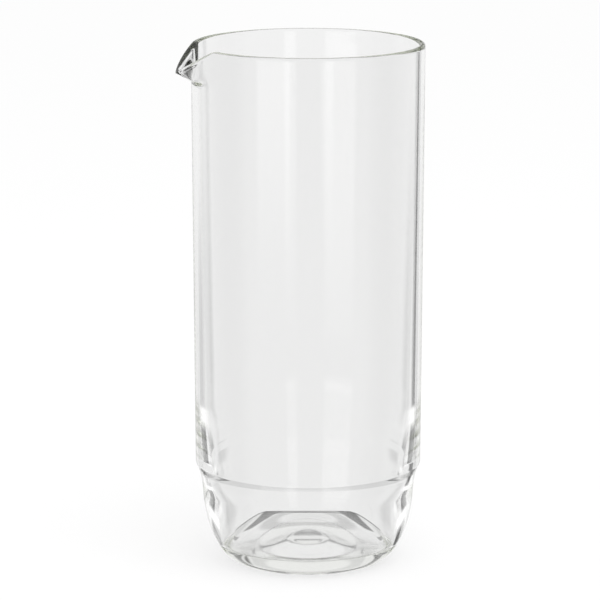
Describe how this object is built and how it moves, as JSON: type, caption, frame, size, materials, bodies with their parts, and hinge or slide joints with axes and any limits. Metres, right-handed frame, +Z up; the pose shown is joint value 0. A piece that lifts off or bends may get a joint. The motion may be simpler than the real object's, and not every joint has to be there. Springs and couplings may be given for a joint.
{
  "type": "glass carafe",
  "caption": "Tall clear glass carafe with a straight body, a stepped-in rounded heavy foot, a thick domed floor and a small pulled pouring lip at the rim.",
  "frame": {"origin": "on the standing plane, under the middle of the carafe's outline seen from above, so the vessel's axis is half the lip's reach to +X of it", "axes": "+Z up along the vessel's axis, -X towards the pouring lip, Y across"},
  "size_m": [0.1004, 0.093, 0.2104],
  "materials": {
    "clear_glass": "polished clear, fire-rounded rim"
  },
  "bodies": {
    "root": {"glass_body": "clear_glass"}
  },
  "joints": []
}
